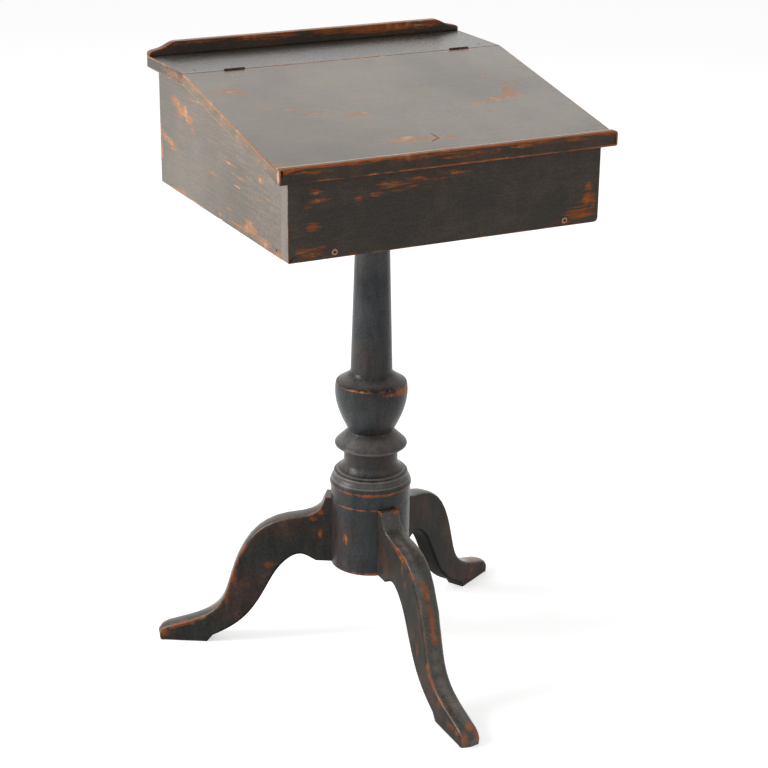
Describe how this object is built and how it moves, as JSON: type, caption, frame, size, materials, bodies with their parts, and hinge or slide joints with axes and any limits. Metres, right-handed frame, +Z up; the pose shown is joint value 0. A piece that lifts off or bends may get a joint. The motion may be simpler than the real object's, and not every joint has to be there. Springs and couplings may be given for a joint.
{
  "type": "slant-lid writing desk on tripod pedestal",
  "caption": "Slant-lid wooden writing box with a hinged lid and a gallery rail, on a turned column with splayed, sawn cabriole legs.",
  "frame": {"origin": "on the floor, in the middle of the rectangle that the whole desk covers", "axes": "+Z up, +Y to the gallery at the back, +X to the right of a person who sits at the front"},
  "size_m": [0.6769, 0.6435, 1.071],
  "materials": {
    "case_wood": "old black paint, worn to the wood on the edges, satin",
    "base_wood": "old black paint, worn to the wood on the edges, satin",
    "bare_wood": "unpainted, darkened with age, matt",
    "iron": "dull, lightly rusted"
  },
  "bodies": {
    "desk": {"front_board": "case_wood", "left_side": "case_wood", "right_side": "case_wood", "back_board": "case_wood", "top_board": "case_wood", "gallery_rail": "case_wood", "turned_column": "base_wood", "leg_front": "base_wood", "leg_right": "base_wood", "leg_left": "base_wood", "bottom_front_board": "bare_wood", "bottom_rear_board": "bare_wood", "column_block": "bare_wood", "tenon_wedge": "bare_wood", "front_screws": "iron", "front_nails": "iron", "back_nails": "iron", "bottom_nails": "iron", "top_nails": "iron", "gallery_nails": "iron", "block_screws": "iron", "hinge_left_case_leaf": "iron", "hinge_left_pin": "iron", "hinge_right_case_leaf": "iron", "hinge_right_pin": "iron", "hinge_case_screws": "iron"},
    "lid": {"lid_board": "case_wood", "lid_lip": "case_wood", "lip_nails": "iron", "hinge_left_lid_leaf": "iron", "hinge_right_lid_leaf": "iron", "hinge_lid_screws": "iron"}
  },
  "joints": [
    {"name": "lid_hinge", "type": "hinge", "parent": "desk", "child": "lid", "pos_m": [0, 0.15905, 1.0485], "axis": [-1, 0, 0], "range_deg": [0, 182]}
  ]
}
